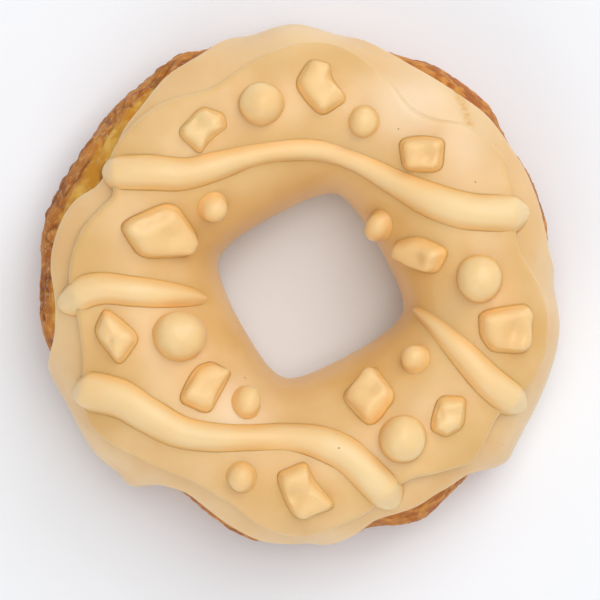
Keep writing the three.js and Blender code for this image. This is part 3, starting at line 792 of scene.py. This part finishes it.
def glaze_finish(name, pale, mid, pool_and_shade_tint, sheen, depth_mm):
    """Set caramel glaze: a milky colour that drifts gently, deeper towards the hole, round the
    toppings and in the toppings' creases, which is painted shade with some pooled glaze, whiter in
    patches with a painted sheen, with a few pinholes and a satin sheen that varies. Light passes some
    way into it."""
    finish = Finish(name)
    drift = finish.noise(14, 3).over(0.3, 0.7)
    colour = finish.mix(drift, mid, pale)
    pooled = finish.field("pooled")
    mottle = finish.noise(4, 2)
    # Painted shade with some pooled glaze, in the hole, round the toppings and in their creases.
    colour = finish.mix(pooled * (0.75 + 0.5 * mottle), colour, pool_and_shade_tint)
    # Painted whitish sheen on slopes facing the key light.
    colour = finish.mix(finish.field("milky"), colour, PAINTED_SHEEN_WHITE)
    pits = 1 - finish.specks(PINHOLE_SPACING).over(0.024, 0.055)
    rare = finish.noise(9, 1).over(0.6, 0.66)
    pits = pits * rare
    colour = finish.mix(pits * 0.7, colour, SPECK)
    grain = finish.noise(0.5, 3)
    ripple = finish.noise(3.0, 2)
    rough = finish.field("rough")
    crumbs = finish.noise(0.7, 4).over(0.35, 0.75)
    colour = finish.mix(rough * (1 - crumbs), colour, OVERLAP_GOLD)
    height = ripple * 0.6 + grain * 0.1 - pits * 1.2 + rough * crumbs * 2
    finish.feed(finish.shader, {
        "Base Color": colour,
        "Roughness": 0.4 + 0.16 * finish.noise(6, 2),
        "Normal": finish.bump(height, 0.3, 0.22),
        "Subsurface Weight": 0.5,
        "Subsurface Radius": (1.0, 0.8, 0.5),
        "Subsurface Scale": depth_mm * MM,
        "IOR": 1.45,
        "Specular IOR Level": sheen,
        "Coat Weight": 0.6 * sheen,
        "Coat Roughness": 0.38,
    })
    return finish.material


CRUST_BROWNS = srgb(172, 92, 18), srgb(214, 138, 48), srgb(230, 166, 80)
CRUST_AMBERS = srgb(212, 142, 34), srgb(236, 186, 84)
CRUST_ORANGES = srgb(178, 92, 14), srgb(224, 150, 62)
CRUST_BLISTER = srgb(136, 64, 14)
CRUST_FURROW = srgb(126, 58, 12)
# Pale glints: painted highlights.
CRUST_PAINTED_GLINT = srgb(236, 200, 152)


def crust_finish():
    """Fried crust: brown, golden where it borders the glaze, orange where it is smooth, darker in
    its furrows and blisters, with pale glints painted in as highlights and an oily sheen in patches."""
    finish = Finish("crust")
    golden = finish.field("golden")
    relief = finish.field("relief")
    furrow = finish.field("furrow")
    plain = finish.field("plain")
    brown = finish.mix(finish.noise(6, 4).over(0.3, 0.7), *CRUST_BROWNS[:2])
    brown = finish.mix(finish.noise(1.3, 4).over(0.45, 0.75), brown, CRUST_BROWNS[2])
    amber = finish.mix(finish.noise(3, 3).over(0.35, 0.7), *CRUST_AMBERS)
    edge = (golden + 0.5 * finish.noise(2.5, 4)).over(0.6, 0.95)
    colour = finish.mix(edge, brown, amber)
    orange = finish.mix(finish.noise(2.6, 4).over(0.4, 0.62), *CRUST_ORANGES)
    colour = finish.mix(plain * 0.7, colour, orange)
    colour = finish.mix(relief.over(0.4, 1.1) * 0.5, colour, CRUST_BLISTER)
    colour = finish.mix(furrow * (0.7 - 0.7 * edge), colour, CRUST_FURROW)
    # Painted highlights: pale glints, fewer where the crust is smooth.
    painted_glint = finish.noise(0.8, 3).over(0.56, 0.68) * finish.noise(5, 2).over(0.4, 0.6)
    painted_glint = painted_glint * (1 - 0.8 * plain)
    colour = finish.mix(painted_glint * (0.55 - 0.3 * edge), colour, CRUST_PAINTED_GLINT)
    height = finish.noise(1.2, 5, 0.6) + finish.noise(0.4, 3) * 0.4
    finish.feed(finish.shader, {
        "Base Color": colour,
        "Roughness": 0.42 + 0.3 * finish.noise(2.2, 3),
        "Normal": finish.bump(height, 0.7, 0.6),
        "Specular IOR Level": 0.25,
        "Subsurface Weight": 0.08,
        "Subsurface Radius": (0.9, 0.45, 0.2),
        "Subsurface Scale": 1.0 * MM,
    })
    return finish.material


FLOOR_REACH = 3000.0


def make_floor():
    """A plain pale floor, one square far wider than the object."""
    corners = np.array([[-1, -1, 0], [1, -1, 0], [1, 1, 0], [-1, 1, 0]]) * FLOOR_REACH
    mesh = bpy.data.meshes.new("floor")
    mesh.from_pydata((corners * MM).tolist(), [], [(0, 1, 2, 3)])
    finish = Finish("floor_paper")
    finish.feed(finish.shader, {"Base Color": srgb(248, 250, 254), "Roughness": 0.9})
    mesh.materials.append(finish.material)
    floor = bpy.data.objects.new("floor", mesh)
    bpy.context.scene.collection.objects.link(floor)


# Soft lights, as (name, azimuth, elevation, distance in metres, size in metres, watts, colour).
LIGHTS = (
    ("key", 54, 44, 1.0, 0.6, 3.1, (1.0, 1.0, 1.0)),
    ("fill", 250, 34, 1.2, 0.9, 3.4, (1.0, 0.99, 0.97)),
    ("overhead", 50, 78, 1.4, 0.9, 6.5, (1.0, 1.0, 1.0)),
)
SKY_COLOUR = (0.98, 0.99, 1.0, 1.0)
SKY_STRENGTH = 0.42

# The camera looks straight down through a long lens.
CAMERA_HEIGHT = 800.0
VIEW_WIDTH = 108.0
VIEW_LEVEL = 15.0
VIEW_CENTRE = (-0.36, -3.06)
SENSOR = 36.0


def make_camera():
    data = bpy.data.cameras.new("camera")
    data.sensor_width = SENSOR
    data.lens = SENSOR * (CAMERA_HEIGHT - VIEW_LEVEL) / VIEW_WIDTH
    data.clip_start = 0.01
    data.clip_end = 100
    camera = bpy.data.objects.new("camera", data)
    camera.location = (VIEW_CENTRE[0] * MM, VIEW_CENTRE[1] * MM, CAMERA_HEIGHT * MM)
    bpy.context.scene.collection.objects.link(camera)
    bpy.context.scene.camera = camera


def make_area_light(name, azimuth, elevation, distance, size, power, colour):
    """A square soft light that shines at the object from a direction."""
    data = bpy.data.lights.new(name, "AREA")
    data.size = size
    data.energy = power
    data.color = colour
    lamp = bpy.data.objects.new(name, data)
    flat = heading(np.float64(azimuth)) * wave(90 - elevation)
    lamp.location = (flat[0] * distance, flat[1] * distance, wave(elevation) * distance)
    lamp.rotation_euler = (np.radians(90 - elevation), 0, np.radians(azimuth + 90))
    bpy.context.scene.collection.objects.link(lamp)


def make_light():
    for light in LIGHTS:
        make_area_light(*light)
    world = bpy.data.worlds.new("studio")
    world.use_nodes = True
    background = world.node_tree.nodes["Background"]
    background.inputs["Color"].default_value = SKY_COLOUR
    background.inputs["Strength"].default_value = SKY_STRENGTH
    bpy.context.scene.world = world
    bpy.context.scene.view_settings.view_transform = "Standard"


make_camera()
make_light()
make_floor()

coat_glaze = glaze_finish(
    "coat_glaze", COAT_PALE, COAT_MID, GLAZE_POOL_AND_SHADE, COAT_SHEEN, COAT_DEPTH)
glaze = glaze_finish(
    "glaze", GLAZE_PALE, GLAZE_MID, GLAZE_POOL_AND_SHADE, COAT_SHEEN, COAT_DEPTH)
strip_glaze = glaze_finish(
    "strip_glaze", STRIP_PALE, STRIP_MID, TOPPING_CREASE_SHADE, TOPPING_SHEEN, TOPPING_DEPTH)
topping_glaze = glaze_finish(
    "topping_glaze", TOPPING_PALE, TOPPING_MID, TOPPING_CREASE_SHADE, TOPPING_SHEEN, TOPPING_DEPTH)

make_dough(crust_finish())
make_coat("first_glaze", "first_coat", coat_glaze, skirt_edge, FIRST_COAT_INNER_END,
          0.0, FIRST_COAT_OVER, FIRST_COAT_LIP, 0.1)
make_coat("top_glaze", "top_coat", glaze, scallop_edge, TOP_COAT_INNER_END,
          FIRST_COAT_OVER, TOP_COAT_OVER, TOP_COAT_LIP, 0.06)
for strip_name, strip_line in STRIPS.items():
    make_strip(strip_name, strip_line, strip_glaze)
for i, (place, half, points_to) in enumerate(SMALL_PEARLS):
    make_pearl(f"small_pearl_{i + 1}", place, half, points_to, topping_glaze, "glaze",
               ["top_coat"], SEED + 60 + i)
for i, (place, half, points_to) in enumerate(LARGE_PEARLS):
    make_pearl(f"large_pearl_{i + 1}", place, half, points_to, topping_glaze, "topping",
               [f"pearl_{i + 1}"], SEED + 70 + i)
for i, (corners, tall, dents) in enumerate(CHUNKS):
    make_chunk(i, corners, tall, dents, topping_glaze)
